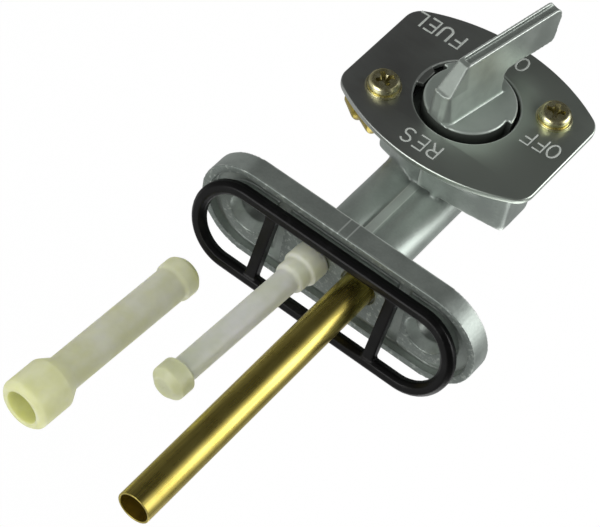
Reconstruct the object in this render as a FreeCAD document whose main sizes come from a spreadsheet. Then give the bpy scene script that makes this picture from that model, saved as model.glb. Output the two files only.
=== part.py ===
import FreeCAD, Part
import Sketcher
import math
import os
import re

# Fuel tap for a motorcycle tank, in millimetres.
# Z points up into the tank, the origin is the middle of the face that meets the tank,
# X runs through the two tank bolts and the lever faces -Y.

doc = FreeCAD.newDocument("fuel_tap")
V = FreeCAD.Vector
TURN = FreeCAD.Rotation
sheet = doc.addObject("Spreadsheet::Sheet", "Sizes")

# Tank flange
bolt_spacing = 44
bolt_hole_radius = 3.4
flange_length = 67.8
flange_width = 24
flange_thick = 4.9
rim_width = 1.8
groove_width = 3.1
groove_depth = 2
bar_offset = 14.8
# Seal
seal_radius = 1.5
seal_bar_width = 2.5
seal_bar_thick = 2.2
seal_shift = 0.3
seal_back = 0.4
seal_lift = 4.02
seal_tilt = 16.5
# Neck and its two fuel ways
tube_offset = 4.7
tube_radius = 4.65
tube_front = 0.9
rib_width = 2.1
rib_front = 5.0
way_radius = 2.6
way_end = 34
neck_end = 41
# Standpipes
pipe_offset = 5.5
pipe_front = 0.57
pipe_radius = 3.65
pipe_wall = 0.45
pipe_height = 68.9
pipe_depth = 8
pipe_grip = 3.5
socket_radius = 4.15
socket_depth = 0.8
strainer_radius = 2.75
strainer_wall = 0.8
strainer_height = 41.6
strainer_collar = 4
strainer_cap = 3.85
strainer_lean = 2.6
# Valve head
hub_height = -40
plate_front = 18.8
plate_thick = 1.4
plate_half_width = 23.3
plate_half_height = 20
plate_arc = 42
plate_corner = 4.6
plate_shift = -0.33
hub_hole = 10.95
lug_inset = 3.4
lug_thick = 4.6
head_back = 6
chamber_back = 2.4
chamber_wall = 13.4
disc_bore = 12.1
disc_floor = 12.2
rotor_bore = 10.2
rotor_floor = 4.6
port_offset = 5
port_radius = 1.6
# Screws
screw_x = 15.1
screw_z = 8.66
screw_radius = 2
screw_length = 7.4
head_radius = 3.3
head_height = 1.9
washer_radius = 3.75
washer_thick = 0.6
# Lever
lever_rest = 10
hub_face = 19.5
hub_small = 9
hub_large = 10.2
disc_radius = 11.7
disc_front = 14.9
disc_back = 12.5
rotor_radius = 9.9
rotor_front = 7.1
ridge_height = 33.5
ridge_half = 1.4
base_half = 2.8
tip_reach = 22.5
ring_section = 1.1
# Outlet
outlet_x = 15
outlet_y = -1.5
outlet_z = 2.6
outlet_tilt = 12.4
nipple_radius = 3.0
nipple_bore = 2
barb_radius = 3.9
boss_radius = 4.2
# Loose strainer sleeve
sleeve_radius = 3.9
sleeve_wall = 0.8
sleeve_length = 48
sleeve_collar = 4.35
sleeve_socket = 5.65
socket_length = 8.5
sleeve_x = 25.69
sleeve_y = 7.77
sleeve_z = 14.51
sleeve_rise = 26

row = 0
for name, value in list(vars().items()):
    if isinstance(value, (int, float)) and name != "row":
        row += 1
        sheet.set("A%d" % row, name)
        sheet.set("B%d" % row, str(value))
        sheet.setAlias("B%d" % row, name)
doc.recompute()


def val(name):
    """Number of a named size."""
    return float(sheet.get(name))


def sizes(text):
    """Expression that reads the named sizes of the sheet."""
    return re.sub(r"[a-z][a-z_]+", lambda m: "Sizes." + m.group(0), text)


def number(text):
    """Present value of an expression, worked out by the sheet."""
    sheet.set("D1", "=" + text)
    sheet.recompute()
    value = float(sheet.get("D1"))
    sheet.clear("D1")
    return value


def bind(thing, **props):
    """Tie properties to sizes."""
    for prop, text in props.items():
        thing.setExpression(prop, sizes(text))
    return thing


def place(thing, x="0", y="0", z="0"):
    """Tie the position of a primitive or a sketch offset to sizes."""
    root = "AttachmentOffset" if thing.TypeId == "Sketcher::SketchObject" else "Placement"
    for axis, text in (("x", x), ("y", y), ("z", z)):
        if text != "0":
            thing.setExpression("%s.Base.%s" % (root, axis), sizes(text))
    return thing


def new_body(name):
    """Empty body with its name as label."""
    body = doc.addObject("PartDesign::Body", name)
    body.Label = name
    return body


def new_sketch(body, name, role, x="0", y="0", z="0"):
    """Sketch on one of the body's own origin planes."""
    sketch = body.newObject("Sketcher::SketchObject", name)
    plane = [f for f in body.Origin.OriginFeatures if f.Role == role][0]
    sketch.AttachmentSupport = (plane, [""])
    sketch.MapMode = "FlatFace"
    place(sketch, x, y, z)
    return sketch


def tie(sketch, kind, *where, to):
    """Dimension tied to a size."""
    index = sketch.addConstraint(Sketcher.Constraint(kind, *where, number(to)))
    sketch.setExpression("Constraints[%d]" % index, sizes(to))


def tie_point(sketch, geo, pos, x, y):
    """Fix one point of a sketch by its two coordinates."""
    if x == "0":
        sketch.addConstraint(Sketcher.Constraint("PointOnObject", geo, pos, -2))
    else:
        tie(sketch, "DistanceX", -1, 1, geo, pos, to=x)
    if y == "0":
        sketch.addConstraint(Sketcher.Constraint("PointOnObject", geo, pos, -1))
    else:
        tie(sketch, "DistanceY", -1, 1, geo, pos, to=y)


def circle(sketch, x, y, radius):
    """Circle with its centre and radius tied."""
    middle = V(number(x), number(y), 0)
    geo = sketch.addGeometry(Part.Circle(middle, V(0, 0, 1), number(radius)))
    tie_point(sketch, geo, 3, x, y)
    tie(sketch, "Radius", geo, to=radius)


def polygon(sketch, corners):
    """Closed outline of straight lines with every corner tied."""
    first = sketch.GeometryCount
    count = len(corners)
    start = [V(number(x), number(y), 0) for x, y in corners]
    for i in range(count):
        sketch.addGeometry(Part.LineSegment(start[i], start[(i + 1) % count]))
    for i in range(count):
        here = first + i
        after = first + (i + 1) % count
        sketch.addConstraint(Sketcher.Constraint("Coincident", here, 2, after, 1))
        tie_point(sketch, here, 1, *corners[i])


def stadium(sketch, length, width):
    """Slot outline along X about the origin."""
    first = sketch.GeometryCount
    up = V(0, 0, 1)
    r = number(width) / 2
    c = number(length) / 2 - r
    sketch.addGeometry(Part.LineSegment(V(-c, r, 0), V(c, r, 0)))
    right = Part.Circle(V(c, 0, 0), up, r)
    sketch.addGeometry(Part.ArcOfCircle(right, -math.pi / 2, math.pi / 2))
    sketch.addGeometry(Part.LineSegment(V(c, -r, 0), V(-c, -r, 0)))
    left = Part.Circle(V(-c, 0, 0), up, r)
    sketch.addGeometry(Part.ArcOfCircle(left, math.pi / 2, 3 * math.pi / 2))
    a, b, c, d = range(first, first + 4)
    sketch.addConstraint(Sketcher.Constraint("Tangent", a, 2, b, 2))
    sketch.addConstraint(Sketcher.Constraint("Tangent", b, 1, c, 1))
    sketch.addConstraint(Sketcher.Constraint("Tangent", c, 2, d, 2))
    sketch.addConstraint(Sketcher.Constraint("Tangent", d, 1, a, 1))
    sketch.addConstraint(Sketcher.Constraint("PointOnObject", b, 3, -1))
    sketch.addConstraint(Sketcher.Constraint("Symmetric", b, 3, d, 3, -1, 1))
    tie(sketch, "Radius", b, to="(%s) / 2" % width)
    tie(sketch, "DistanceX", d, 3, b, 3, to="(%s) - (%s)" % (length, width))


def barrel(sketch, half_wide, half_high, radius):
    """Outline with straight sides and arched top and bottom."""
    first = sketch.GeometryCount
    up = V(0, 0, 1)
    w = number(half_wide)
    r = number(radius)
    turn = math.asin(w / r)
    c = number(half_high) - r
    h = c + r * math.cos(turn)
    sketch.addGeometry(Part.LineSegment(V(-w, h, 0), V(-w, -h, 0)))
    low = Part.Circle(V(0, -c, 0), up, r)
    sketch.addGeometry(Part.ArcOfCircle(low, 1.5 * math.pi - turn, 1.5 * math.pi + turn))
    sketch.addGeometry(Part.LineSegment(V(w, -h, 0), V(w, h, 0)))
    high = Part.Circle(V(0, c, 0), up, r)
    sketch.addGeometry(Part.ArcOfCircle(high, 0.5 * math.pi - turn, 0.5 * math.pi + turn))
    a, b, c, d = range(first, first + 4)
    sketch.addConstraint(Sketcher.Constraint("Coincident", a, 2, b, 1))
    sketch.addConstraint(Sketcher.Constraint("Coincident", b, 2, c, 1))
    sketch.addConstraint(Sketcher.Constraint("Coincident", c, 2, d, 1))
    sketch.addConstraint(Sketcher.Constraint("Coincident", d, 2, a, 1))
    sketch.addConstraint(Sketcher.Constraint("Vertical", a))
    sketch.addConstraint(Sketcher.Constraint("Vertical", c))
    tie_point(sketch, b, 3, "0", "(%s) - (%s)" % (radius, half_high))
    tie_point(sketch, d, 3, "0", "(%s) - (%s)" % (half_high, radius))
    tie(sketch, "Radius", b, to=radius)
    tie(sketch, "Radius", d, to=radius)
    tie(sketch, "DistanceX", -1, 1, c, 1, to=half_wide)
    tie(sketch, "DistanceX", -1, 1, a, 1, to="-(%s)" % half_wide)


def pad(body, sketch, length, back=False, both=False):
    """Pad of a sketch."""
    feature = body.newObject("PartDesign::Pad", sketch.Name + "_pad")
    feature.Profile = sketch
    feature.Reversed = back
    feature.Midplane = both
    bind(feature, Length=length)
    return feature


def pocket(body, sketch, length, back=False, both=False):
    """Pocket of a sketch."""
    feature = body.newObject("PartDesign::Pocket", sketch.Name + "_cut")
    feature.Profile = sketch
    feature.Reversed = back
    feature.Midplane = both
    bind(feature, Length=length)
    return feature


def turned(body, name, corners, role="XZ_Plane", cut=False):
    """Shape turned about Z from an outline of radius and height."""
    sketch = new_sketch(body, name, role)
    polygon(sketch, corners)
    kind = "PartDesign::Groove" if cut else "PartDesign::Revolution"
    feature = body.newObject(kind, name + "_turn")
    feature.Profile = sketch
    feature.ReferenceAxis = (sketch, ["V_Axis"])
    feature.Angle = 360
    return feature


def rod(body, name, radius, length, at, aim, cut=False):
    """Cylinder in the body, from a point along a direction."""
    kind = "PartDesign::SubtractiveCylinder" if cut else "PartDesign::AdditiveCylinder"
    feature = body.newObject(kind, name)
    feature.Placement = FreeCAD.Placement(V(), TURN(V(0, 0, 1), V(*aim)))
    bind(feature, Radius=radius, Height=length)
    place(feature, *at)
    return feature


def round_edges(body, name, feature, radius, choose):
    """Fillet on the edges that the test picks."""
    doc.recompute()
    edges = ["Edge%d" % (i + 1) for i, e in enumerate(feature.Shape.Edges) if choose(e)]
    fillet = body.newObject("PartDesign::Fillet", name)
    fillet.Base = (feature, edges)
    bind(fillet, Radius=radius)
    return fillet


# Cast body: tank flange, double neck and valve chamber in one casting
cast = new_body("body_casting")
face = new_sketch(cast, "flange_outline", "XY_Plane")
stadium(face, "flange_length", "flange_width")
pad(cast, face, "flange_thick", back=True)
ring = new_sketch(cast, "seal_groove", "XY_Plane")
stadium(ring, "flange_length - 2 * rim_width", "flange_width - 2 * rim_width")
inner = "2 * rim_width - 2 * groove_width"
stadium(ring, "flange_length - " + inner, "flange_width - " + inner)
pocket(cast, ring, "groove_depth")
for side, sign in (("left", "-"), ("right", "")):
    cross = new_sketch(cast, "cross_groove_" + side, "XY_Plane")
    near = sign + "bar_offset - groove_width / 2"
    far = sign + "bar_offset + groove_width / 2"
    edge = "flange_width / 2 - rim_width - groove_width / 2"
    corners = ((near, "-(%s)" % edge), (far, "-(%s)" % edge), (far, edge), (near, edge))
    polygon(cross, corners)
    pocket(cast, cross, "groove_depth")
    rod(cast, "neck_tube_" + side, "tube_radius", "neck_end - flange_thick / 2",
        (sign + "tube_offset", "-tube_front", "-flange_thick / 2"), (0, 0, -1))
rib = new_sketch(cast, "neck_rib", "XY_Plane", z="-flange_thick / 2")
half = "rib_width / 2"
polygon(rib, (("-" + half, "-rib_front"), (half, "-rib_front"), (half + " + 0.15", "-rib_front + 0.7"),
              (half + " + 1", "-rib_front + 0.5"), (half + " + 1", "0"), ("-%s - 1.3" % half, "0"),
              ("-%s - 1.3" % half, "-rib_front + 0.15"), ("-%s - 0.15" % half, "-rib_front + 0.3")))
pad(cast, rib, "neck_end - 14", back=True)
lug = new_sketch(cast, "lug_outline", "XZ_Plane", x="plate_shift", y="hub_height",
                 z="plate_front - plate_thick - lug_thick")
barrel(lug, "plate_half_width - lug_inset", "plate_half_height - lug_inset",
       "plate_arc - lug_inset")
lug_pad = pad(cast, lug, "lug_thick")
round_edges(cast, "lug_corners", lug_pad, "plate_corner - lug_inset",
            lambda e: e.Vertexes[0].X < -number("plate_half_width - lug_inset - 1")
            and e.Length < 5
            and abs(e.Vertexes[0].Y - e.Vertexes[-1].Y) > 4)
deep = new_sketch(cast, "deep_outline", "XZ_Plane", x="plate_shift", y="hub_height", z="head_back")
polygon(deep, (("-plate_half_width + 12.5", "plate_half_height - 5.6"),
               ("-plate_half_width + 3.6", "plate_half_height - 6.8"),
               ("-plate_half_width + 3.1", "plate_half_height - 7.5"),
               ("-plate_half_width + 3.1", "plate_half_height - 15.3"),
               ("-plate_half_width + 4", "plate_half_height - 18"),
               ("-plate_half_width + 9", "-6"), ("0", "-9"), ("0", "plate_half_height - 5")))
deep_pad = pad(cast, deep, "plate_front - plate_thick - head_back")
rod(cast, "chamber", "chamber_wall", "plate_front - plate_thick - chamber_back",
    ("0", "-chamber_back", "hub_height"), (0, -1, 0))
tilt = math.radians(val("outlet_tilt"))
out = (math.cos(tilt), 0, -math.sin(tilt))


def along(distance):
    """Point on the outlet axis, counted from where the nipple meets its boss."""
    cosine = "%.6f" % out[0]
    sine = "%.6f" % -out[2]
    return ("outlet_x + (%s) * %s" % (distance, cosine), "outlet_y",
            "hub_height + outlet_z - (%s) * %s" % (distance, sine))


rod(cast, "outlet_boss", "boss_radius", "11.5", along("-13.5"), out)
rod(cast, "outlet_socket", "nipple_radius", "7", along("-7"), out, cut=True)
rod(cast, "disc_seat", "disc_bore", "plate_front - plate_thick - disc_floor",
    ("0", "-disc_floor", "hub_height"), (0, -1, 0), cut=True)
rod(cast, "rotor_seat", "rotor_bore", "plate_front - plate_thick - rotor_floor",
    ("0", "-rotor_floor", "hub_height"), (0, -1, 0), cut=True)
for side, sign in (("left", "-"), ("right", "")):
    rod(cast, "fuel_way_" + side, "way_radius", "way_end + 1",
        (sign + "tube_offset", "-tube_front", "1"), (0, 0, -1), cut=True)
    flip = -1 if sign else 1
    rise = (-0.3 * flip, val("rotor_floor") - val("tube_front"), 8)
    rod(cast, "port_way_" + side, "port_radius - 0.3", "10",
        (sign + "port_offset", "-rotor_floor - 0.8", "hub_height - 0.6"), rise, cut=True)
rod(cast, "centre_port", "port_radius", "rotor_floor + 2.2",
    ("0", "-rotor_floor - 1", "hub_height"), (0, 1, 0), cut=True)
start = V(*[number(text) for text in along("-6.5")])
path = V(-0.4, 0.45, val("hub_height") + 0.1) - start
rod(cast, "outlet_way", "port_radius - 0.3", "%.4f" % path.Length, along("-6.5"),
    (path.x, path.y, path.z), cut=True)
bolts = new_sketch(cast, "bolt_holes", "XY_Plane")
circle(bolts, "-bolt_spacing / 2", "0", "bolt_hole_radius")
circle(bolts, "bolt_spacing / 2", "0", "bolt_hole_radius")
pocket(cast, bolts, "flange_thick + 1")
rod(cast, "pipe_socket", "socket_radius", "socket_depth + 1",
    ("-pipe_offset", "-pipe_front", "1"), (0, 0, -1), cut=True)
rod(cast, "pipe_seat", "pipe_grip", "pipe_depth + 1",
    ("-pipe_offset", "-pipe_front", "1"), (0, 0, -1), cut=True)
lean = math.radians(val("strainer_lean"))
lean_out = (math.sin(lean), 0, math.cos(lean))
lean_in = (-lean_out[0], 0, -lean_out[2])
rod(cast, "strainer_seat", "strainer_radius", "7",
    ("pipe_offset", "-pipe_front", "0"), lean_in, cut=True)
for side, sign in (("left", "-"), ("right", "")):
    rod(cast, "screw_hole_" + side, "screw_radius", "screw_length",
        ("plate_shift %s screw_x" % (sign or "+"), "-plate_front + plate_thick + screw_length - 1.6",
         "hub_height %s screw_z" % (sign or "+")), (0, -1, 0), cut=True)

# Rubber tank seal, lifted at the back as it lies before fitting
seal = new_body("tank_seal")
strand = "flange_width / 2 - rim_width - groove_width / 2"
straight = "flange_length / 2 - flange_width / 2"
cord = new_sketch(seal, "seal_cord", "XY_Plane")
for reach in ("seal_radius", "-seal_radius"):
    stadium(cord, "2 * (%s + %s + %s)" % (straight, strand, reach), "2 * (%s + %s)" % (strand, reach))
cord_pad = pad(seal, cord, "2 * seal_radius", both=True)
doc.recompute()
rims = ["Edge%d" % (i + 1) for i, e in enumerate(cord_pad.Shape.Edges)
        if abs(e.BoundBox.ZMin - e.BoundBox.ZMax) < 0.01]
soft = seal.newObject("PartDesign::Chamfer", "seal_cord_edges")
soft.Base = (cord_pad, rims)
bind(soft, Size="seal_radius * 0.57")
bars = new_sketch(seal, "seal_bars", "XY_Plane")
edge = "flange_width / 2 - rim_width - groove_width / 2"
for sign in ("-", ""):
    near = sign + "bar_offset - seal_bar_width / 2"
    far = sign + "bar_offset + seal_bar_width / 2"
    polygon(bars, ((near, "-(%s)" % edge), (far, "-(%s)" % edge), (far, edge), (near, edge)))
pad(seal, bars, "seal_bar_thick", both=True)
tipped = TURN(V(1, 0, 0), val("seal_tilt"))
seal.Placement = FreeCAD.Placement(V(val("seal_shift"), val("seal_back"), val("seal_lift")), tipped)

# Brass standpipe pressed into the flange
pipe = new_body("main_pipe")
wall = "pipe_radius - pipe_wall"
turned(pipe, "pipe_wall_outline", (
    (wall, "-pipe_depth"), ("pipe_grip", "-pipe_depth"), ("pipe_grip", "0.2"), ("pipe_radius", "0.4"),
    ("pipe_radius", "pipe_height"), (wall, "pipe_height")))
pipe.Placement = FreeCAD.Placement(V(-val("pipe_offset"), -val("pipe_front"), 0), TURN())

# Reserve strainer, a nylon tube with a stepped collar and a capped end
reserve = new_body("reserve_strainer")
bore = "strainer_radius - strainer_wall"
top = "strainer_height"
turned(reserve, "strainer_outline", (
    (bore, "-6.5"), ("strainer_radius", "-6.5"), ("strainer_radius", "0.2"), ("strainer_collar", "0.2"),
    ("strainer_collar", "4.6"), ("strainer_collar - 0.5", "5.6"), ("strainer_radius", "8"),
    ("strainer_radius", top + " - 2.4"), ("strainer_cap", top + " - 1.8"), ("strainer_cap", top + " + 1.7"),
    ("strainer_cap - 1.5", top + " + 3"), ("0", top + " + 3"), ("0", top + " + 1.4"), (bore, top + " + 1.4")))
reserve.Placement = FreeCAD.Placement(V(val("pipe_offset"), -val("pipe_front"), 0),
                                      TURN(V(0, 0, 1), V(*lean_out)))

# Main strainer sleeve, taken off and laid beside the tap
sleeve = new_body("main_strainer")
bore = "sleeve_radius - sleeve_wall"
long = "sleeve_length"
turned(sleeve, "sleeve_outline", (
    ("0", "0"), ("sleeve_collar - 1.2", "0"), ("sleeve_collar", "1.4"), ("sleeve_collar", "4.2"),
    ("sleeve_radius", "5.4"), ("sleeve_radius", long + " - socket_length - 3"), ("sleeve_socket", long + " - socket_length"),
    ("sleeve_socket", long + " - 1"), ("sleeve_socket - 1", long), ("pipe_radius + 0.05", long),
    ("pipe_radius + 0.05", long + " - 10"), (bore, long + " - 11"), (bore, "1.6"), ("0", "1.6")))
lie = V(1.1, -0.6, val("sleeve_rise"))
sleeve.Placement = FreeCAD.Placement(V(val("sleeve_x"), val("sleeve_y"), val("sleeve_z")), TURN(V(0, 0, 1), lie))

# Pressed face plate with the lever stop
plate = new_body("face_plate")
front = new_sketch(plate, "plate_outline", "XZ_Plane", x="plate_shift", y="hub_height",
                   z="plate_front - plate_thick")
barrel(front, "plate_half_width", "plate_half_height", "plate_arc")
plate_pad = pad(plate, front, "plate_thick")
round_edges(plate, "plate_corners", plate_pad, "plate_corner",
            lambda e: abs(e.Length - val("plate_thick")) < 0.01)
opening = new_sketch(plate, "plate_holes", "XZ_Plane", y="hub_height", z="plate_front + 1")
circle(opening, "0", "0", "hub_hole")
circle(opening, "plate_shift - screw_x", "-screw_z", "screw_radius + 0.3")
circle(opening, "plate_shift + screw_x", "screw_z", "screw_radius + 0.3")
pocket(plate, opening, "plate_thick + 2")
tab = new_sketch(plate, "stop_tab", "XZ_Plane", y="hub_height", z="plate_front - plate_thick")
polygon(tab, (("hub_small + 0.3", "-2.1"), ("hub_hole + 0.8", "-3.2"), ("hub_hole + 0.8", "2.6"),
              ("hub_small + 0.3", "2.1")))
pad(plate, tab, "plate_thick")


def spin(body, name, corners):
    """Shape turned about the body's own Y axis from an outline of radius and Y."""
    sketch = new_sketch(body, name, "XY_Plane")
    polygon(sketch, corners)
    feature = body.newObject("PartDesign::Revolution", name + "_turn")
    feature.Profile = sketch
    feature.ReferenceAxis = (sketch, ["V_Axis"])
    feature.Angle = 360
    return feature


hub_place = FreeCAD.Placement(V(0, 0, val("hub_height")), TURN())

# Lever: hub, retained disc, rotor with its fuel slot, and the thumb blade
lever = new_body("lever")
spin(lever, "rotor_outline", (
    ("0", "-hub_face"), ("hub_small - 0.3", "-hub_face"), ("hub_small", "-hub_face + 0.3"),
    ("hub_small", "-disc_front"), ("disc_radius", "-disc_front"), ("disc_radius", "-disc_back"),
    ("rotor_radius", "-disc_back"), ("rotor_radius", "-11.4"),
    ("rotor_radius - ring_section", "-11.4"), ("rotor_radius - ring_section", "-9"),
    ("rotor_radius", "-9"), ("rotor_radius", "-rotor_front"), ("0", "-rotor_front")))
sector = new_sketch(lever, "stop_sector", "XZ_Plane", z="disc_front - 0.5")
begin = math.radians(196)
finish = math.radians(344)
big = Part.Circle(V(), V(0, 0, 1), val("hub_large"))
arc = sector.addGeometry(Part.ArcOfCircle(big, begin, finish))
ends = [V(math.cos(a), math.sin(a), 0) * val("hub_large") for a in (begin, finish)]
deep_in = V(0, -3, 0)
sector.addGeometry(Part.LineSegment(ends[1], deep_in))
sector.addGeometry(Part.LineSegment(deep_in, ends[0]))
sector.addConstraint(Sketcher.Constraint("Coincident", 0, 3, -1, 1))
sector.addConstraint(Sketcher.Constraint("Coincident", 0, 2, 1, 1))
sector.addConstraint(Sketcher.Constraint("Coincident", 1, 2, 2, 1))
sector.addConstraint(Sketcher.Constraint("Coincident", 2, 2, 0, 1))
tie(sector, "Radius", 0, to="hub_large")
tie_point(sector, 1, 2, "0", "-3")
tie(sector, "DistanceX", -1, 1, 0, 1, to="-hub_large * 0.961262")
tie(sector, "DistanceX", -1, 1, 0, 2, to="hub_large * 0.961262")
pad(lever, sector, "hub_face - disc_front + 0.5")
blade = new_sketch(lever, "blade_side", "YZ_Plane")
polygon(blade, (
    ("-hub_face + 0.5", "hub_small - 0.6"), ("-hub_face - 0.1", "hub_small + 0.3"),
    ("-hub_face - 7.4", "hub_small + 0.3"), ("-hub_face - 7.9", "hub_small - 0.4"),
    ("-ridge_height + 0.3", "4.7"), ("-ridge_height", "4.0"),
    ("-ridge_height", "-tip_reach + 1.6"), ("-ridge_height + 0.4", "-tip_reach + 0.6"),
    ("-ridge_height + 1.5", "-tip_reach"), ("-ridge_height + 2.6", "-tip_reach + 0.1"),
    ("-ridge_height + 7.6", "-tip_reach + 1.3"), ("-ridge_height + 8.1", "-tip_reach + 2"),
    ("-ridge_height + 8.1", "-14.8"), ("-ridge_height + 7.7", "-11"), ("-ridge_height + 8.1", "-7.9"),
    ("-ridge_height + 9", "-7.1"), ("-hub_face - 1.2", "-6.8"), ("-hub_face - 0.4", "-7.2"),
    ("-hub_face + 0.5", "-8.2")))
pad(lever, blade, "2 * base_half", both=True)
for side, sign in (("left", "-"), ("right", "")):
    slant = new_sketch(lever, "blade_slant_" + side, "XY_Plane")
    polygon(slant, ((sign + "ridge_half", "-ridge_height"), (sign + "ridge_half", "-ridge_height - 1"),
                    (sign + "base_half + %s1" % (sign or "+"), "-ridge_height - 1"),
                    (sign + "base_half + %s1" % (sign or "+"), "-hub_face"),
                    (sign + "base_half", "-hub_face")))
    pocket(lever, slant, "60", both=True)
nose = new_sketch(lever, "nose_corners", "XZ_Plane", z="hub_face")
polygon(nose, (("-0.5", "hub_small + 0.3"), ("-1.7", "hub_small - 0.1"), ("-2.5", "hub_small - 1"),
               ("-2.9", "hub_small - 2.4"), ("-4", "hub_small - 2.4"), ("-4", "hub_small + 1"),
               ("-0.5", "hub_small + 1")))
polygon(nose, (("1.5", "hub_small + 0.3"), ("1.5", "hub_small + 1"), ("4", "hub_small + 1"),
               ("4", "hub_small - 1.4"), ("2.8", "hub_small - 1.4"), ("2.3", "hub_small - 0.1")))
pocket(lever, nose, "20", back=True)
channel = new_sketch(lever, "ridge_channel", "XZ_Plane", z="ridge_height - 0.9")
polygon(channel, (("-ridge_half + 0.55", "3.6"), ("ridge_half - 0.55", "3.6"),
                  ("ridge_half - 0.55", "-30"), ("-ridge_half + 0.55", "-30")))
pocket(lever, channel, "3", back=True)
slot = new_sketch(lever, "fuel_slot", "XZ_Plane", z="rotor_front")
polygon(slot, (("-port_offset - port_radius", "-port_radius"), ("port_radius", "-port_radius"),
               ("port_radius", "port_radius"), ("-port_offset - port_radius", "port_radius")))
pocket(lever, slot, "3", back=True)
lever.Placement = FreeCAD.Placement(hub_place.Base, TURN(V(0, 1, 0), val("lever_rest")))

# Rubber ring in the rotor groove
ring_body = new_body("rotor_ring")
spin(ring_body, "ring_outline", (
    ("rotor_radius - ring_section", "-11.2"), ("rotor_bore", "-11.2"),
    ("rotor_bore", "-9.2"), ("rotor_radius - ring_section", "-9.2")))
ring_body.Placement = lever.Placement

# Four-hole rubber packing on the chamber floor
packing = new_body("valve_packing")
spin(packing, "packing_outline", (
    ("0", "-rotor_front + 0.05"), ("rotor_bore", "-rotor_front + 0.05"), ("rotor_bore", "-rotor_floor"),
    ("0", "-rotor_floor")))
holes = new_sketch(packing, "packing_holes", "XZ_Plane", z="rotor_front + 1")
for x, z in (("0", "0"), ("port_offset", "0"), ("-port_offset", "0"), ("0", "-port_offset - 1")):
    circle(holes, x, z, "port_radius")
pocket(packing, holes, "8")
packing.Placement = hub_place

# Wavy spring washer between the plate and the rotor disc
wave = doc.addObject("Part::Feature", "wave_washer")
wave.Label = "wave_washer"
inner = val("hub_hole") - 0.35
outer = val("disc_bore") - 0.35
low = -val("plate_front") + val("plate_thick")
high = -val("disc_front")
thin = 0.35
swing = (high - low - thin) / 2
rings = []
for radius, lift in ((inner, 0), (outer, 0), (outer, thin), (inner, thin)):
    points = []
    for step in range(48):
        angle = step * math.pi / 24
        wavy = low + lift + swing * (1 + math.cos(3 * angle))
        points.append(V(radius * math.cos(angle), wavy, radius * math.sin(angle)))
    curve = Part.BSplineCurve()
    curve.interpolate(points, PeriodicFlag=True)
    rings.append(curve.toShape())
strips = [Part.makeRuledSurface(rings[i], rings[(i + 1) % 4]) for i in range(4)]
washer_solid = Part.Solid(Part.Shell([s.Faces[0] for s in strips]))
if washer_solid.Volume < 0:
    washer_solid.reverse()
wave.Shape = washer_solid
wave.Placement = hub_place

# Brass outlet nipple pressed into its boss
nipple = new_body("outlet_nipple")
turned(nipple, "nipple_outline", (
    ("nipple_bore", "-6"), ("nipple_radius", "-6"), ("nipple_radius", "1.6"), ("barb_radius", "1.9"),
    ("barb_radius", "2.5"), ("nipple_radius + 0.2", "5.6"), ("barb_radius", "6.4"), ("barb_radius", "7"),
    ("nipple_bore + 0.5", "10.8"), ("nipple_bore", "10.8")))
nipple.Placement = FreeCAD.Placement(
    V(val("outlet_x"), val("outlet_y"), val("hub_height") + val("outlet_z")), TURN(V(0, 0, 1), V(*out)))
doc.recompute()


def screw_shape():
    """Pan-head screw with a cross recess, turned about its axis with the head on top."""
    head = Part.makeCylinder(val("head_radius"), val("head_height"))
    rim = [e for e in head.Edges if abs(e.Vertexes[0].Z - val("head_height")) < 0.01 and len(e.Vertexes) == 1]
    head = head.makeChamfer(0.7, rim)
    shank = Part.makeCylinder(val("screw_radius"), val("screw_length"), V(0, 0, -val("screw_length")))
    shank = shank.makeChamfer(0.6, [e for e in shank.Edges if e.Vertexes[0].Z < -1 and len(e.Vertexes) == 1])
    solid = head.fuse(shank).removeSplitter()
    for quarter in (0, 90):
        wing = Part.makeBox(3.6, 0.9, 1.4, V(-1.8, -0.45, val("head_height") - 1.1))
        solid = solid.cut(wing.rotate(V(), V(0, 0, 1), quarter))
    return solid


def washer_shape():
    """Flat washer."""
    disc = Part.makeCylinder(val("washer_radius"), val("washer_thick"))
    return disc.cut(Part.makeCylinder(val("screw_radius") + 0.3, val("washer_thick")))


def pair(name, shape_of, lift):
    """Same small piece at both screw places."""
    both = []
    for sign in (-1, 1):
        spot = V(val("plate_shift") + sign * val("screw_x"), -val("plate_front") - lift,
                 val("hub_height") + sign * val("screw_z"))
        piece = shape_of()
        piece.Placement = FreeCAD.Placement(spot, TURN(V(0, 0, 1), V(0, -1, 0)))
        both.append(piece)
    group = doc.addObject("Part::Feature", name)
    group.Label = name
    group.Shape = Part.makeCompound(both)
    return group


screws = pair("plate_screws", screw_shape, val("washer_thick"))
washers = pair("screw_washers", washer_shape, 0)
doc.recompute()

nodes = (cast, seal, pipe, reserve, sleeve, plate, lever, ring_body, packing, wave, nipple, screws, washers)
faults = [t.Name for t in doc.Objects if "Invalid" in t.State or "Error" in t.State]
if faults:
    raise SystemExit("not computed: " + ", ".join(faults))
os.makedirs("parts", exist_ok=True)
for node in nodes:
    shape = node.Shape
    if shape.isNull() or not shape.isValid():
        raise SystemExit("bad shape: " + node.Label)
    print(node.Label, len(shape.Solids), round(shape.Volume, 2), shape.BoundBox)
    shape.exportStep("parts/%s.step" % node.Label)
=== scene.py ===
import math

import bmesh
import bpy
import numpy as np
from mathutils import Matrix, Vector


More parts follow.
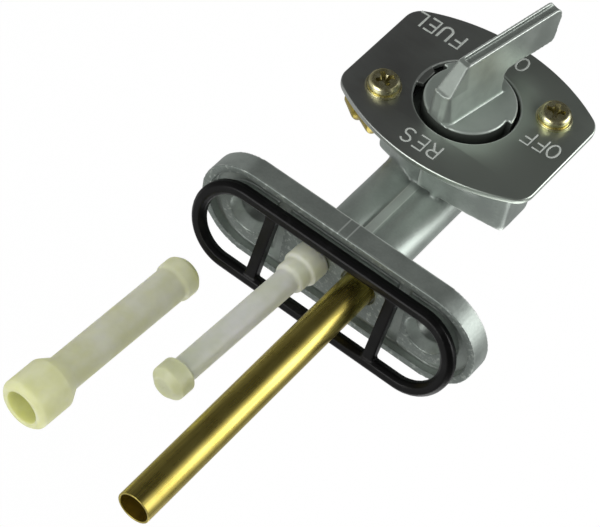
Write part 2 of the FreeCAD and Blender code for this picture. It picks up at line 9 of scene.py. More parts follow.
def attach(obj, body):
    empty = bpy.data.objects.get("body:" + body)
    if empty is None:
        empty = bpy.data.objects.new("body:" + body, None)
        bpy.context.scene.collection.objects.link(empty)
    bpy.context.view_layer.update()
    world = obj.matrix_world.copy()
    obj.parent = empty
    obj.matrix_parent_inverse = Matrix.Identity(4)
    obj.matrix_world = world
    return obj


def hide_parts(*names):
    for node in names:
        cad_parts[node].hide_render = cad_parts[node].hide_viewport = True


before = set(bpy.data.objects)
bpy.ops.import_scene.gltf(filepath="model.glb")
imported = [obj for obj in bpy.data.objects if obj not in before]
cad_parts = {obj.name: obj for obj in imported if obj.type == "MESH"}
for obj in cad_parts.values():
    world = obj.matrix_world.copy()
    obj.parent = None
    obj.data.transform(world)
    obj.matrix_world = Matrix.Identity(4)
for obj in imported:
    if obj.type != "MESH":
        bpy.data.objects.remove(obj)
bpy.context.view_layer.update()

# Body casting: tank flange, double neck and valve chamber, one zinc-aluminium die casting.
# Its edges are softened by tumbling, and the skin keeps the fine grain of the die.
# The lever, the plate and both pipes are carried by it.
MM = 0.001
HUB_Z = -40.0
BOLT_X = 22.0


class Value:
    """A shader socket that takes part in Python arithmetic."""

    def __init__(self, tree, socket):
        self.tree = tree
        self.socket = socket

    def node(self, kind, settings=None, inputs=None, output=0):
        """Any other node: its settings first, then values or links for its inputs."""
        made = self.tree.nodes.new(kind)
        for key, setting in (settings or {}).items():
            setattr(made, key, setting)
        for key, given in (inputs or {}).items():
            if isinstance(given, Value):
                self.tree.links.new(given.socket, made.inputs[key])
            else:
                made.inputs[key].default_value = given
        return Value(self.tree, made.outputs[output])

    def sum_of(self, operation, first, second=0.0, clamp=False):
        """One Math node."""
        settings = {"operation": operation, "use_clamp": clamp}
        return self.node("ShaderNodeMath", settings, {0: first, 1: second})

    def __add__(self, other):
        return self.sum_of("ADD", self, other)

    def __radd__(self, other):
        return self.sum_of("ADD", other, self)

    def __sub__(self, other):
        return self.sum_of("SUBTRACT", self, other)

    def __rsub__(self, other):
        return self.sum_of("SUBTRACT", other, self)

    def __mul__(self, other):
        return self.sum_of("MULTIPLY", self, other)

    def __rmul__(self, other):
        return self.sum_of("MULTIPLY", other, self)

    def __abs__(self):
        return self.sum_of("ABSOLUTE", self)

    def step(self, low, high):
        """0 below low, 1 above high, smooth between."""
        return self.node("ShaderNodeMapRange", {"interpolation_type": "SMOOTHSTEP"},
                         {"Value": self, "From Min": low, "From Max": high})

    def mix(self, under, over):
        """The first colour where this factor is 0, the second where it is 1."""
        colours = [colour if isinstance(colour, Value) else (*colour, 1.0) for colour in (under, over)]
        return self.node("ShaderNodeMix", {"data_type": "RGBA"},
                         {0: self, 6: colours[0], 7: colours[1]}, output=2)

    def drawn_out(self, x, y, z):
        """This position scaled by axis: a pattern on it gets long where the scale is small."""
        return self.node("ShaderNodeMapping", {}, {"Vector": self, "Scale": (x, y, z)})

    def noise(self, size_mm, detail=3.0, rough=0.5):
        """Noise over this position, with blobs of about the given size."""
        return self.node("ShaderNodeTexNoise", {}, {"Vector": self, "Scale": 1.0 / (size_mm * MM),
                                                    "Detail": detail, "Roughness": rough})

    def axis(self, name):
        """One coordinate of this position in millimetres."""
        split = self.node("ShaderNodeSeparateXYZ", {}, {0: self}, output="XYZ".index(name))
        return split * (1.0 / MM)

    def kept(self, name):
        """A number that the mesh keeps on its points or faces."""
        return self.node("ShaderNodeAttribute", {"attribute_name": name}, output="Fac")


def finish(name, build, **constants):
    """New material: build(position) returns the changing inputs, constants stay on the shader."""
    material = bpy.data.materials.new(name)
    material.use_nodes = True
    tree = material.node_tree
    shader = tree.nodes["Principled BSDF"]
    for key, constant in constants.items():
        shader.inputs[key.replace("_", " ")].default_value = constant
    place = tree.nodes.new("ShaderNodeTexCoord")
    changing = build(Value(tree, place.outputs["Object"]))
    height, depth = changing.pop("bump")
    changing["Normal"] = height.node("ShaderNodeBump", {}, {"Height": height, "Distance": depth * MM,
                                                            "Strength": 1.0})
    for key, value in changing.items():
        tree.links.new(value.socket, shader.inputs[key.replace("_", " ")])
    return material


def add(name, data):
    """New object in the scene."""
    made = bpy.data.objects.new(name, data)
    bpy.context.scene.collection.objects.link(made)
    return made


def copy_of(node, name):
    """Merged copy of a CAD node's mesh."""
    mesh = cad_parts[node].data.copy()
    work = bmesh.new()
    work.from_mesh(mesh)
    bmesh.ops.remove_doubles(work, verts=work.verts, dist=1e-6)
    work.to_mesh(mesh)
    work.free()
    mesh.name = name
    return add(name, mesh)


def shade_smooth(mesh, sharp=None):
    """Smooth shading, with the edges above the sharp angle left crisp."""
    for face in mesh.polygons:
        face.use_smooth = True
    if sharp:
        mesh.set_sharp_from_angle(angle=math.radians(sharp))


def evaluated(thing):
    """Mesh of an object as its modifiers or its curve settings leave it."""
    graph = bpy.context.evaluated_depsgraph_get()
    graph.update()
    return bpy.data.meshes.new_from_object(thing.evaluated_get(graph))


def bake(thing):
    """Turns the modifiers of an object into its mesh."""
    mesh = evaluated(thing)
    thing.modifiers.clear()
    thing.data = mesh


def carve(thing, tool_work, crossing=False):
    """Cuts a tool's shape out of an object; crossing says that forms of the tool overlap."""
    tool_mesh = bpy.data.meshes.new("tool")
    tool_work.to_mesh(tool_mesh)
    tool_work.free()
    tool = add("tool", tool_mesh)
    cut = thing.modifiers.new("cut", "BOOLEAN")
    cut.object = tool
    cut.operation = "DIFFERENCE"
    cut.solver = "EXACT"
    cut.use_self = crossing
    bake(thing)
    bpy.data.objects.remove(tool)


def soften(thing, grain_mm, rounds, share=1.0):
    """Closes the skin at the given grain, rounds every edge a little, and keeps a share of the faces."""
    skin = thing.modifiers.new("skin", "REMESH")
    skin.mode = "VOXEL"
    skin.voxel_size = grain_mm * MM
    skin.use_smooth_shade = True
    relax = thing.modifiers.new("relax", "SMOOTH")
    relax.factor = 0.5
    relax.iterations = rounds
    if share < 1.0:
        fewer = thing.modifiers.new("fewer", "DECIMATE")
        fewer.ratio = share
    bake(thing)
    shade_smooth(thing.data)
    return thing


def find_edges(thing, full_mm=0.045):
    """Keeps on each vertex how far it stands out of its surroundings, about 1 on an outer edge."""
    mesh = thing.data
    count = len(mesh.vertices)
    place = np.empty(count * 3)
    mesh.vertices.foreach_get("co", place)
    place = place.reshape(-1, 3)
    out = np.empty(count * 3, dtype=np.float32)
    mesh.vertex_normals.foreach_get("vector", out)
    out = out.reshape(-1, 3)
    ends = np.empty(len(mesh.edges) * 2, dtype=np.int64)
    mesh.edges.foreach_get("vertices", ends)
    ends = ends.reshape(-1, 2)
    near, far = ends[:, 0], ends[:, 1]
    around = np.bincount(ends.ravel(), minlength=count).clip(1)

    def mean(value):
        total = np.bincount(near, value[far], count) + np.bincount(far, value[near], count)
        return total / around

    rise = np.zeros(count)
    for way in range(3):
        rise += (place[:, way] - mean(place[:, way])) * out[:, way]
    for _ in range(3):
        rise = (rise + mean(rise)) / 2
    kept = mesh.attributes.new("edge", "FLOAT", "POINT")
    kept.data.foreach_set("value", (rise / (full_mm * MM)).astype(np.float32))


def wear(thing, material, body, *nodes, slot=None):
    """Gives a finished piece its material, its body and the CAD nodes it stands for."""
    thing.data.materials.clear()
    thing.data.materials.append(material)
    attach(thing, body)
    if nodes:
        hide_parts(*nodes)


def cast_skin(place):
    x, y, z = (place.axis(name) for name in "XYZ")
    across = abs(x)
    grain = place.noise(0.55, 4.0, 0.6)
    patch = place.noise(7.0, 3.0, 0.55)
    edge = place.kept("edge")
    shade = (patch * 0.7 + grain * 0.3).step(0.32, 0.68)
    skin = shade.mix((0.30, 0.335, 0.31), (0.42, 0.465, 0.43))
    # Outer edges are painted pale: mostly a painted highlight, partly rubbed bare.
    skin = (edge.step(0.24, 0.5) * 0.85).mix(skin, (0.84, 0.89, 0.84))
    # Hollows and creases are painted dark: painted shade.
    skin = ((edge * -1.0).step(0.15, 0.5) * 0.5).mix(skin, (0.12, 0.13, 0.12))

    # The tank face of the flange is machined across and stained by fuel.
    face = z.step(-0.35, -0.12) * (1.0 - z.step(1.0, 1.5))
    cuts = place.drawn_out(0.06, 1.0, 1.0).noise(0.4, 4.0, 0.65)
    stain = place.noise(1.1, 5.0, 0.7).step(0.5, 0.66)
    worn = (cuts * 0.55 + stain * 0.45).step(0.25, 0.75).mix((0.22, 0.25, 0.23), (0.43, 0.47, 0.43))
    colour = face.mix(skin, worn)

    # The neck is painted paler, as painted light, and the flange's long front side is painted darker between
    # its edges, as painted shade.
    neck = (1.0 - z.step(-6.5, -5.5)) * z.step(-26.0, -24.0)
    side = (1.0 - y.step(-11.95, -11.6)) * z.step(-5.3, -4.8)
    colour = (neck * 0.28).mix(colour, (0.62, 0.70, 0.64))
    colour = (side * (1.0 - edge.step(0.2, 0.8)) * 0.45).mix(colour, (0.17, 0.19, 0.17))

    # The rib down the neck has a painted highlight, strongest at its two edges, and so have two die marks on
    # that side.
    rib = (1.0 - across.step(0.9, 1.2)) * neck * (1.0 - y.step(-4.7, -4.2))
    rib_edge = across.step(0.75, 0.95) * rib
    from_mark = abs(x - 0.4)
    mark = from_mark.step(0.85, 1.05) * (1.0 - from_mark.step(1.1, 1.35)) * side
    colour = (rib * 0.55 + rib_edge * 0.4).mix(colour, (0.80, 0.86, 0.80))
    colour = (mark * 0.5).mix(colour, (0.86, 0.91, 0.86))

    # The bolt holes and the chamber are painted dark inside, as painted shade. Their walls are found by
    # squared radius.
    from_bolt = across - BOLT_X
    bore = (1.0 - (from_bolt * from_bolt + y * y).step(11.4, 13.0)) * (1.0 - z.step(-2.6, -2.0))
    up = z - HUB_Z
    chamber = (1.0 - (x * x + up * up).step(130, 140)) * (1.0 - y.step(-6.5, -6.0))
    colour = (bore * 0.8).mix(colour, (0.09, 0.10, 0.09))
    colour = chamber.mix(colour, (0.06, 0.07, 0.06))
    return {"Base_Color": colour,
            "Roughness": 0.36 + 0.14 * patch + 0.3 * chamber,
            "bump": (grain * 0.6 + patch * 0.8 + face * cuts * 0.8, 0.05)}


cast_metal = finish("cast_metal", cast_skin, Metallic=0.72)
casting = copy_of("body_casting", "casting")

# Each bolt hole widens at the tank face, in a lead-in that the CAD solid hasn't got.
lead_in = bmesh.new()
lead_small, lead_wide, lead_tall, lead_middle = 3.2, 5.1, 3.8, -0.9
for x in (-BOLT_X, BOLT_X):
    cone = bmesh.ops.create_cone(lead_in, cap_ends=True, segments=64, radius1=lead_small * MM,
                                 radius2=lead_wide * MM, depth=lead_tall * MM)["verts"]
    bmesh.ops.translate(lead_in, verts=cone, vec=(x * MM, 0, lead_middle * MM))
carve(casting, lead_in)
soften(casting, 0.27, 3, 0.5)

# The tubes, rib and chamber flow into each other, so the neck is smoothed further there,
# and not the chamber's front and its rim, where the plate sits.
blend_front, blend_top, rim_squared, rim_back = -15.6, -18, 150, 1.5
blend = casting.vertex_groups.new(name="blend")
for vertex in casting.data.vertices:
    x, y, z = vertex.co / MM
    if z < blend_top and y > blend_front and (x * x + (z - HUB_Z) ** 2 > rim_squared or y > rim_back):
        weight = min(1.0, (y - blend_front) / 1.5) * min(1.0, (blend_top - z) / 2)
        blend.add([vertex.index], weight, "REPLACE")
relax = casting.modifiers.new("blend", "SMOOTH")
relax.vertex_group = "blend"
relax.factor = 0.6
relax.iterations = 26
bake(casting)
find_edges(casting)
wear(casting, cast_metal, "tap", "body_casting", slot="cast_metal")

# Tank seal: one moulded ladder of black nitrile rubber with two bars across.
# It lies lifted out of its groove, as it is before the tap is bolted up.


def rubber_skin(place):
    grain = place.noise(0.35, 3.0)
    dust = place.noise(5.0, 4.0, 0.6).step(0.5, 0.75)
    return {"Base_Color": dust.mix((0.002, 0.002, 0.002), (0.006, 0.006, 0.006)),
            "Roughness": 0.3 + 0.14 * dust,
            "bump": (grain, 0.02)}


rubber = finish("seal_rubber", rubber_skin, IOR=1.5, Specular_IOR_Level=0.22)
seal = soften(copy_of("tank_seal", "seal"), 0.22, 3, 0.7)
wear(seal, rubber, "tap", "tank_seal", slot="seal_rubber")

# Main pipe: drawn brass tube, cut square, pressed into the flange.
# Fine lines from the drawing run along it, and its foot, next to the flange, is darker.


def turned(name, outline, at, aim=(0, 0, 1), around=96):
    """Closed turned piece from an outline of radius and height in mm, at a place along an axis."""
    work = bmesh.new()
    rings = []
    for radius, height in outline:
        if radius < 1e-6:
            rings.append([work.verts.new((0, 0, height * MM))])
            continue
        ring = []
        for step in range(around):
            angle = 2 * math.pi * step / around
            ring.append(work.verts.new((radius * MM * math.cos(angle), radius * MM * math.sin(angle),
                                        height * MM)))
        rings.append(ring)
    pairs = list(zip(rings, rings[1:]))
    if outline[0][0] > 1e-6 and outline[-1][0] > 1e-6:
        pairs.append((rings[-1], rings[0]))
    for low, high in pairs:
        for step in range(around):
            after = (step + 1) % around
            if len(low) == 1 and len(high) == 1:
                continue
            if len(low) == 1:
                work.faces.new((low[0], high[step], high[after]))
            elif len(high) == 1:
                work.faces.new((low[after], low[step], high[0]))
            else:
                work.faces.new((low[step], low[after], high[after], high[step]))
    bmesh.ops.recalc_face_normals(work, faces=work.faces)
    tilt = Vector((0, 0, 1)).rotation_difference(Vector(aim)).to_matrix().to_4x4()
    work.transform(Matrix.Translation(Vector(at) * MM) @ tilt)
    mesh = bpy.data.meshes.new(name)
    work.to_mesh(mesh)
    work.free()
    shade_smooth(mesh, 32)
    return add(name, mesh)


def rounded(outline, radius=0.3, steps=4):
    """Outline with each inner corner rounded."""
    points = [Vector(p) for p in outline]
    out = []
    for i, corner in enumerate(points):
        if i in (0, len(points) - 1) and points[0].x < 1e-6:
            out.append(corner)
            continue
        before = points[i - 1]
        after = points[(i + 1) % len(points)]
        reach = min(radius, (corner - before).length * 0.45, (after - corner).length * 0.45)
        one = corner + (before - corner).normalized() * reach
        two = corner + (after - corner).normalized() * reach
        for step in range(steps + 1):
            t = step / steps
            out.append(one * (1 - t) ** 2 + corner * 2 * t * (1 - t) + two * t * t)
    return [(p.x, p.y) for p in out]


def brass_skin(place):
    lines = place.drawn_out(1.0, 1.0, 0.02).noise(0.25, 3.0)
    dark = place.drawn_out(1.0, 1.0, 0.035).noise(0.9, 4.0, 0.65)
    haze_and_painted_sheen = place.noise(9.0, 4.0, 0.6)
    foot = 1.0 - place.axis("Z").step(0.6, 3.2)
    tone = haze_and_painted_sheen.step(0.3, 0.7).mix((0.58, 0.47, 0.105), (0.68, 0.565, 0.15))
    tone = (dark.step(0.5, 0.72) * 0.55 + foot * 0.4).mix(tone, (0.22, 0.165, 0.03))
    return {"Base_Color": tone,
            "Roughness": 0.2 + 0.1 * haze_and_painted_sheen + 0.06 * lines,
            "bump": (lines, 0.004)}


brass = finish("pipe_brass", brass_skin, Metallic=1.0)
tube_x, tube_y = 5.5, -0.57
pipe = turned("pipe", rounded([(3.2, -8), (3.6, -8), (3.65, 0.4), (3.65, 68.9), (3.2, 68.9)], 0.12),
              (-tube_x, tube_y, 0))
wear(pipe, brass, "tap", "main_pipe", slot="pipe_brass")

# Reserve strainer: one moulded nylon tube with a stepped collar and a capped end, pushed
# into the flange. Natural nylon lets some light through and has a faintly rippled skin.


def nylon_skin(place):
    ripple = place.noise(2.2, 2.0)
    cloud = place.noise(9.0, 3.0, 0.55).step(0.3, 0.72)
    cap = place.axis("Z").step(38.6, 40.0)
    tone = cloud.mix((0.47, 0.50, 0.35), (0.60, 0.61, 0.50))
    return {"Base_Color": (cap * 0.75).mix(tone, (0.38, 0.39, 0.235)),
            "Roughness": 0.34 + 0.16 * ripple,
            "bump": (ripple, 0.06)}


nylon = finish("nylon", nylon_skin, IOR=1.53, Subsurface_Weight=1.0,
               Subsurface_Radius=(0.006, 0.006, 0.004), Subsurface_Scale=1.0)
lean = math.radians(2.6)
reserve = turned("reserve_tube", rounded([
    (1.95, -6.5), (2.75, -6.5), (2.75, 0.2), (4.0, 0.2), (4.0, 4.3), (3.4, 4.9), (3.4, 7.5), (2.75, 8.3),
    (2.75, 39.2), (3.85, 39.8), (3.85, 43.3), (2.35, 44.6), (0, 44.6), (0, 43.0), (1.95, 43.0)], 0.35),
    (tube_x, tube_y, 0), (math.sin(lean), 0, math.cos(lean)))
wear(reserve, nylon, "tap", "reserve_strainer", slot="nylon")

# Main strainer sleeve: the nylon sleeve that goes over the pipe, taken off and laid alongside.
# It is yellower than the reserve tube, with a wide socket and a rounded collar.


def sleeve_skin(place):
    ripple = place.noise(2.6, 2.0)
    cloud = place.noise(8.0, 3.0, 0.55).step(0.3, 0.72)
    return {"Base_Color": cloud.mix((0.49, 0.50, 0.28), (0.57, 0.58, 0.40)),
            "Roughness": 0.36 + 0.16 * ripple,
            "bump": (ripple, 0.07)}


aged_nylon = finish("aged_nylon", sleeve_skin, IOR=1.53, Subsurface_Weight=1.0,
                    Subsurface_Radius=(0.006, 0.006, 0.003), Subsurface_Scale=1.0)
sleeve_foot, sleeve_lean = (25.19, 7.77, 14.33), (1.1, -0.6, 26)
sleeve = turned("strainer_sleeve", rounded([
    (0, 0), (3.15, 0), (4.35, 1.4), (4.35, 4.4), (3.9, 5.2), (3.9, 36.5), (5.65, 39.5), (5.65, 47),
    (4.65, 48), (3.7, 48), (3.7, 38), (3.1, 37), (3.1, 1.6), (0, 1.6)], 0.45), sleeve_foot, sleeve_lean)
wear(sleeve, aged_nylon, "tap", "main_strainer", slot="nylon")

# Face plate: stamped bright steel with a stop tab for the lever, held by two screws.
# Its face is polished, so it shows the dark side of the room, and its edge is rolled over.


def plate_skin(place):
    x, z = place.axis("X"), place.axis("Z")
    streak = place.drawn_out(0.25, 1.0, 1.0).noise(1.2, 3.0)
    cloud = place.noise(16.0, 2.0, 0.5)
    shade = (cloud * 0.8 + streak * 0.2).step(0.3, 0.7).mix((0.44, 0.45, 0.43), (0.54, 0.57, 0.54))
    # One side of the plate is painted paler and greener: a painted reflection of the room.
    haze_and_painted_sheen = 1.0 - (x * 0.8 + z * 0.1).step(-16.0, 10.0)
    shade = haze_and_painted_sheen.mix(shade, (0.66, 0.73, 0.65))

    # A painted highlight runs round the lever's opening along its brim, found by squared radius.
    up = z - HUB_Z
    around = x * x + up * up
    brim = (1.0 - around.step(125.5, 130.5)) * around.step(116.0, 118.5)
    return {"Base_Color": (brim * 0.8).mix(shade, (0.90, 0.95, 0.90)),
            "Roughness": 0.3 + 0.12 * cloud + 0.2 * brim,
            "bump": (streak * 0.3 + cloud + place.noise(2.6, 4.0, 0.6) * 0.35, 0.035)}


plate_metal = finish("plate_metal", plate_skin, Metallic=1.0)


def add_path(curve, points, closed=False):
    """Adds one straight-sided path in mm to a curve."""
    spline = curve.splines.new("POLY")
    spline.points.add(len(points) - 1)
    for target, (x, z) in zip(spline.points, points):
        target.co = (x * MM, z * MM, 0, 1)
    spline.use_cyclic_u = closed


def stamped(name, loops, front, thick, edge):
    """Sheet-metal piece from loops in X and Z, its front at Y = -front."""
    curve = bpy.data.curves.new(name, "CURVE")
    curve.dimensions = "2D"
    curve.fill_mode = "BOTH"
    for loop in loops:
        add_path(curve, loop, closed=True)
    curve.extrude = (thick / 2 - edge) * MM
    curve.bevel_depth = edge * MM
    curve.bevel_resolution = 3
    curve.offset = -edge * MM
    shape = add(name, curve)
    mesh = evaluated(shape)
    bpy.data.objects.remove(shape)
    middle = Matrix.Translation(Vector((0, -front + thick / 2, 0)) * MM)
    mesh.transform(middle @ Matrix.Rotation(math.pi / 2, 4, "X"))
    work = bmesh.new()
    work.from_mesh(mesh)
    bmesh.ops.remove_doubles(work, verts=work.verts, dist=1e-6)
    bmesh.ops.recalc_face_normals(work, faces=work.faces)
    work.to_mesh(mesh)
    work.free()
    shade_smooth(mesh, 40)
    return add(name, mesh)


def arc(cx, cy, wide, high, start, end, steps=8):
    """Points of a round or elliptic arc, in degrees."""
    angles = [math.radians(start + (end - start) * i / steps) for i in range(steps + 1)]
    return [(cx + wide * math.cos(a), cy + high * math.sin(a)) for a in angles]


# The outline: four corners, and the top and bottom bulged to a wide arc.
plate_w, plate_h, plate_arc, corner, shift = 23.3, 20.0, 42.0, 4.6, -0.33
bulge = plate_arc - plate_h
spread = plate_arc - corner
reach = math.sqrt(spread ** 2 - (plate_w - corner) ** 2)
swing = math.degrees(math.asin((plate_w - corner) / spread))
outline = []
for quarter, (sx, sz) in enumerate(((1, 1), (-1, 1), (-1, -1), (1, -1))):
    cx, cz = shift + sx * (plate_w - corner), HUB_Z + sz * (reach - bulge)
    turn = arc(cx, cz, corner, corner, 0, 90 - swing, 10)
    turn = [(cx + sx * (x - cx), cz + sz * (z - cz)) for x, z in turn]
    outline += turn if sx * sz > 0 else turn[::-1]
    if quarter in (0, 2):
        side = 90 if sz > 0 else 270
        outline += arc(shift, HUB_Z - sz * bulge, plate_arc, plate_arc, side - swing, side + swing, 40)[1:-1]

# The opening for the lever's hub, with the stop tab on its right, and the two screw holes.
hub_hole, tab_half, screw_hole = 10.95, 2.7, 2.3
plate_front, plate_thick, rolled = 18.8, 1.4, 0.35
screw_places = [(shift + sign * 15.1, HUB_Z + sign * 8.66) for sign in (-1, 1)]
tab = math.degrees(math.asin(tab_half / hub_hole))
opening = arc(0, HUB_Z, hub_hole, hub_hole, tab, 360 - tab, 90) + [(9.35, HUB_Z - 2.0), (9.3, HUB_Z + 2.1)]
holes = [arc(x, z, screw_hole, screw_hole, 0, 350, 35) for x, z in screw_places]
plate = stamped("plate", [outline, opening] + holes, plate_front, plate_thick, rolled)
wear(plate, plate_metal, "tap", "face_plate", slot="plate_metal")

# Function words on the plate: stamped strokes that catch the light.
# They say which way the lever points for shut, main supply and reserve.


def word_skin(place):
    grain = place.noise(0.3, 2.0)
    return {"Base_Color": grain.mix((0.38, 0.41, 0.38), (0.60, 0.63, 0.59)),
            "Roughness": 0.45 + 0.1 * grain,
            "bump": (grain, 0.01)}


word_metal = finish("word_metal", word_skin, Metallic=0.3)

STROKES = {
    "O": [arc(0.3, 0.5, 0.3, 0.5, 0, 360, 24)],
    "N": [[(0, 0), (0, 1), (0.58, 0), (0.58, 1)]],
    "F": [[(0, 0), (0, 1), (0.54, 1)], [(0, 0.53), (0.46, 0.53)]],
    "E": [[(0.56, 0), (0, 0), (0, 1), (0.56, 1)], [(0, 0.52), (0.46, 0.52)]],
    "L": [[(0, 1), (0, 0), (0.52, 0)]],
    "U": [[(0, 1)] + arc(0.29, 0.3, 0.29, 0.3, 180, 360) + [(0.58, 1)]],
    "R": [[(0, 0), (0, 1)] + arc(0.28, 0.75, 0.26, 0.25, 90, -90) + [(0, 0.5)], [(0.28, 0.5), (0.56, 0)]],
    "S": [arc(0.29, 0.74, 0.27, 0.26, 30, 270, 10) + arc(0.29, 0.25, 0.28, 0.25, 90, -150, 10)[1:]]}
letter_middle = (0.29, 0.5)
stroke_rise = 0.36


def word(text, places, height, width=0.43):
    """Letters of flattened round strokes, each with its middle at its own X and Z on the plate."""
    for number, (letter, (x, z)) in enumerate(zip(text, places)):
        curve = bpy.data.curves.new("letter", "CURVE")
        curve.dimensions = "3D"
        curve.bevel_depth = width / 2 * MM
        curve.bevel_resolution = 3
        curve.use_fill_caps = True
        for path in STROKES[letter]:
            add_path(curve, [((u - letter_middle[0]) * height, (v - letter_middle[1]) * height)
                             for u, v in path])
        shape = add("letter", curve)
        mesh = evaluated(shape)
        bpy.data.objects.remove(shape)
        at = Matrix.Translation(Vector((x, -plate_front, HUB_Z + z)) * MM)
        flat = Matrix.Diagonal((1, 1, stroke_rise, 1))
        mesh.transform(at @ Matrix.Rotation(math.pi / 2, 4, "X") @ flat)
        shade_smooth(mesh)
        wear(add("word_%s_%d" % (text.lower(), number), mesh), word_metal, "tap", slot="plate_metal")


word("FUEL", ((11.0, -12.1), (14.0, -12.0), (17.3, -11.9), (20.4, -11.7)), 3.8, 0.54)
word("OFF", ((-20.3, -1.4), (-17.3, -1.2), (-14.4, -1.0)), 3.7)
word("RES", ((-2.6, 15.2), (0.5, 15.3), (3.6, 15.4)), 3.7)
word("ON", ((-2.5, -16.15), (1.0, -16.15)), 3.7)

# Plate screws: pan heads with a cross recess, yellow passivated, each on its own washer.
# One screw is shaped once and set at both places.


def zinc_skin(place):
    cloud = place.noise(1.6, 3.0, 0.6)
    plain = cloud.step(0.35, 0.65).mix((0.74, 0.68, 0.35), (0.90, 0.86, 0.56))
    # The cross recess is painted dark inside: painted shade.
    return {"Base_Color": (place.kept("recess") * 0.3).mix(plain, (0.16, 0.13, 0.05)),
            "Roughness": 0.2 + 0.14 * cloud,
            "bump": (cloud, 0.02)}


yellow_zinc = finish("yellow_zinc", zinc_skin, Metallic=1.0)


def screw_blank():
    """Pan head with a cross recess, its axis on Z and its seat at 0."""
    body = turned("blank", rounded([
        (0, -7.2), (1.4, -7.2), (2.0, -6.6), (2.0, 0), (3.3, 0), (3.3, 1.2), (2.75, 1.85), (0, 1.9)], 0.45),
        (0, 0, 0))
    work = bmesh.new()
    for turn in (0, 90):
        top, low = [[work.verts.new(Vector((x * half, y * thick, height)) * MM)
                     for x, y in ((-1, -1), (1, -1), (1, 1), (-1, 1))]
                    for height, half, thick in ((2.6, 2.3, 0.62), (0.5, 1.3, 0.34))]
        work.faces.new(top)
        work.faces.new(low[::-1])
        for i in range(4):
            work.faces.new((top[i], low[i], low[(i + 1) % 4], top[(i + 1) % 4]))
        bmesh.ops.rotate(work, verts=top + low, matrix=Matrix.Rotation(math.radians(turn), 3, "Z"))
    middle = bmesh.ops.create_cone(work, cap_ends=True, segments=16, radius1=0.35 * MM, radius2=1.5 * MM,
                                   depth=2.3 * MM)["verts"]
    bmesh.ops.translate(work, verts=middle, vec=(0, 0, 1.6 * MM))
    bmesh.ops.recalc_face_normals(work, faces=work.faces)
    carve(body, work, crossing=True)
    recess = body.data.attributes.new("recess", "FLOAT", "FACE")
    for face, kept in zip(body.data.polygons, recess.data):
        x, y, z = face.center / MM
        kept.value = 1.0 if math.hypot(x, y) < 2.35 and 0.2 < z < 1.84 else 0.0
    return body


blank = screw_blank()
washer_thick = 0.6
for number, (x, z) in enumerate(screw_places):
    mesh = blank.data.copy()
    seat = Vector((x, -plate_front - washer_thick, z)) * MM
    aim = Vector((0, 0, 1)).rotation_difference(Vector((0, -1, 0))).to_matrix().to_4x4()
    mesh.transform(Matrix.Translation(seat) @ aim @ Matrix.Rotation(math.radians(20 + 35 * number), 4, "Z"))
    shade_smooth(mesh, 35)
    screw = add("screw_%d" % number, mesh)
    wear(screw, yellow_zinc, "tap", slot="yellow_zinc")
    ring = turned("washer_%d" % number,
                  rounded([(2.3, 0), (3.75, 0), (3.75, washer_thick), (2.3, washer_thick)], 0.12),
                  (x, -plate_front, z), (0, -1, 0), 72)
    wear(ring, yellow_zinc, "tap", slot="yellow_zinc")
    if number == 0:
        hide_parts("plate_screws")
        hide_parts("screw_washers")
bpy.data.objects.remove(blank)

# Lever: one zinc die casting with its thumb blade, the round hub and the rotor in the chamber.
# Thumb wear leaves it a little smoother than the body.


def lever_skin(place):
    grain = place.noise(0.45, 3.0)
    patch = place.noise(6.0, 3.0, 0.55)
    y = place.axis("Y")
    skin = patch.step(0.3, 0.7).mix((0.29, 0.325, 0.295), (0.37, 0.41, 0.375))
    # Outer edges are painted pale: mostly a painted highlight, partly worn bare by the thumb.
    skin = (place.kept("edge").step(0.24, 0.45) * 0.7).mix(skin, (0.76, 0.81, 0.76))

    # The hub's rim is painted paler as painted light, the blade's upper flank is painted darker as painted
    # shade, and the rotor behind the plate is painted darkest, as painted shade where the plate hides it.
    hub = y.step(-20.3, -19.9)
    flank = place.axis("Z").step(-36.2, -35.2) * (1.0 - y.step(-27.4, -26.8))
    hidden = y.step(-19.25, -18.95)
    skin = (hub * 0.36).mix(skin, (0.64, 0.73, 0.66))
    skin = (flank * 0.5).mix(skin, (0.19, 0.21, 0.19))
    return {"Base_Color": hidden.mix(skin, (0.11, 0.125, 0.11)),
            "Roughness": 0.36 + 0.12 * patch,
            "bump": (grain * 0.5 + patch, 0.04)}


lever_metal = finish("lever_metal", lever_skin, Metallic=0.7)
lever = soften(copy_of("lever", "thumb_lever"), 0.21, 4)
find_edges(lever)
wear(lever, lever_metal, "lever", "lever", slot="lever_metal")

# Outlet nipple: turned brass with two hose barbs, pressed into the casting's boss.
# Only its barbs show past the edge of the plate.

nipple_root = (15, -1.5, HUB_Z + 2.6)
tilt = math.radians(12.4)
nipple = turned("nipple", rounded([
    (2.0, -6), (3.0, -6), (3.0, 1.6), (3.9, 1.9), (3.9, 2.5), (3.2, 5.6), (3.9, 6.4), (3.9, 7.0),
    (2.5, 10.8), (2.0, 10.8)], 0.15), nipple_root, (math.cos(tilt), 0, -math.sin(tilt)))
wear(nipple, brass, "tap", "outlet_nipple", slot="pipe_brass")

# Rubber packing, rubber ring and spring washer: small pieces inside the valve.
# They keep their plain turned shapes and take the rubber and the steel finish.


def spring_skin(place):
    grain = place.noise(0.8, 3.0)
    return {"Base_Color": grain.mix((0.3, 0.3, 0.3), (0.45, 0.45, 0.45)),
            "Roughness": 0.3 + 0.1 * grain,
            "bump": (grain, 0.01)}


spring_steel = finish("spring_steel", spring_skin, Metallic=1.0)
for node, material in (("valve_packing", rubber), ("rotor_ring", rubber), ("wave_washer", spring_steel)):
    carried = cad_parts[node]
    carried.data.materials.clear()
    carried.data.materials.append(material)

# Studio: a pale round floor well below the tap, a white room, and three soft lamps.
# The camera stands where the photograph was taken from.

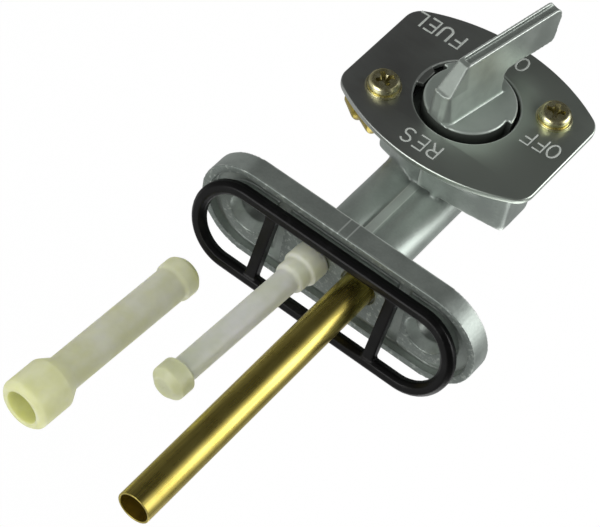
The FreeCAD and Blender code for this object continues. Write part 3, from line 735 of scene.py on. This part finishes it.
floor_radius, floor_place = 0.32, (0.14, 0.35, -0.22)
floor_mesh = bpy.data.meshes.new("floor")
work = bmesh.new()
bmesh.ops.create_circle(work, cap_ends=True, segments=96, radius=floor_radius)
work.transform(Matrix.Translation(floor_place))
work.to_mesh(floor_mesh)
work.free()
floor = add("floor", floor_mesh)


def rays(tree):
    """Masks for what the camera sees directly or through a piece, and for mirrored rays."""
    sight = tree.nodes.new("ShaderNodeLightPath")
    camera_ray = Value(tree, sight.outputs["Is Camera Ray"])
    clear_ray = Value(tree, sight.outputs["Is Transmission Ray"])
    direct = camera_ray.sum_of("ADD", camera_ray, clear_ray, clamp=True)
    return direct, Value(tree, sight.outputs["Is Glossy Ray"])


# The floor is white to the camera, darker in the metal's reflections, and plain to all else.
floor_paint = bpy.data.materials.new("floor_paint")
floor_paint.use_nodes = True
tree = floor_paint.node_tree
tree.nodes.clear()
direct, mirrored = rays(tree)
seen = direct.sum_of("ADD", direct, mirrored, clamp=True)
plain = seen.node("ShaderNodeBsdfDiffuse", {}, {"Color": (0.9, 0.9, 0.9, 1.0)})
white = seen.node("ShaderNodeEmission", {}, {"Color": (1, 1, 1, 1), "Strength": direct + mirrored * 0.4})
mixed = seen.node("ShaderNodeMixShader", {}, {0: seen * 0.97, 1: plain, 2: white})
out = tree.nodes.new("ShaderNodeOutputMaterial")
tree.links.new(mixed.socket, out.inputs["Surface"])
floor_mesh.materials.append(floor_paint)

# The room is white to the camera, and dark in reflections but for five soft bright areas:
# the way to each, the cosines between which it fades in, and its strength.
world = bpy.data.worlds.new("room")
bpy.context.scene.world = world
world.use_nodes = True
tree = world.node_tree
tree.nodes.clear()
direct, mirrored = rays(tree)
heading = Value(tree, tree.nodes.new("ShaderNodeTexCoord").outputs["Generated"])
room = 0.05
for aim, start, full, strength in (
        ((-0.80, -0.28, -0.53), 0.72, 0.96, 0.95),
        ((0.50, -0.20, 0.84), 0.55, 1.0, 0.36),
        ((0.20, 0.90, 0.38), 0.10, 1.0, 0.42),
        ((-0.60, 0.75, -0.30), 0.60, 1.0, 0.14),
        ((0.95, 0.10, -0.30), 0.50, 1.0, 0.12)):
    toward = heading.node("ShaderNodeVectorMath", {"operation": "DOT_PRODUCT"},
                          {0: heading, 1: aim}, output=1)
    room = toward.step(start, full) * strength + room
level = direct + mirrored * (1.0 - direct) * room + (1.0 - direct) * (1.0 - mirrored) * 0.8
sky = level.node("ShaderNodeBackground", {}, {"Color": (1, 1, 1, 1), "Strength": level})
out = tree.nodes.new("ShaderNodeOutputWorld")
tree.links.new(sky.socket, out.inputs["Surface"])


def lamp(name, direction, distance, size, power, middle=(0, 0, -0.02)):
    """Square soft lamp that looks at the tap's middle."""
    light = bpy.data.lights.new(name, "AREA")
    light.shape = "SQUARE"
    light.size = size
    light.energy = power
    made = add(name, light)
    way = Vector(direction).normalized()
    made.location = way * distance + Vector(middle)
    made.rotation_mode = "QUATERNION"
    made.rotation_quaternion = way.to_track_quat("Z", "Y")


lamp("key", (-0.80, -0.28, -0.53), 0.6, 0.35, 1.2)
lamp("top", (0.2, -0.4, 0.88), 0.7, 0.5, 2.2)
lamp("back", (-0.4, 0.85, 0.1), 0.7, 0.5, 1.2)

lens = bpy.data.cameras.new("camera")
lens.sensor_fit = "HORIZONTAL"
lens.sensor_width = 36.0
lens.lens = 159.3202
lens.clip_start, lens.clip_end = 0.05, 10.0
camera = add("camera", lens)
camera_place = Vector((-0.1484520, -0.4125480, 0.2889093))
right = Vector((-0.7854974, -0.1250204, -0.6061054))
down = Vector((-0.5438296, 0.6068791, 0.5796095))
ahead = Vector((0.2953697, 0.7848998, -0.5446918))
camera.matrix_world = Matrix.Translation(camera_place) @ Matrix((right, -down, -ahead)).transposed().to_4x4()
bpy.context.scene.camera = camera
bpy.context.scene.view_settings.view_transform = "Standard"
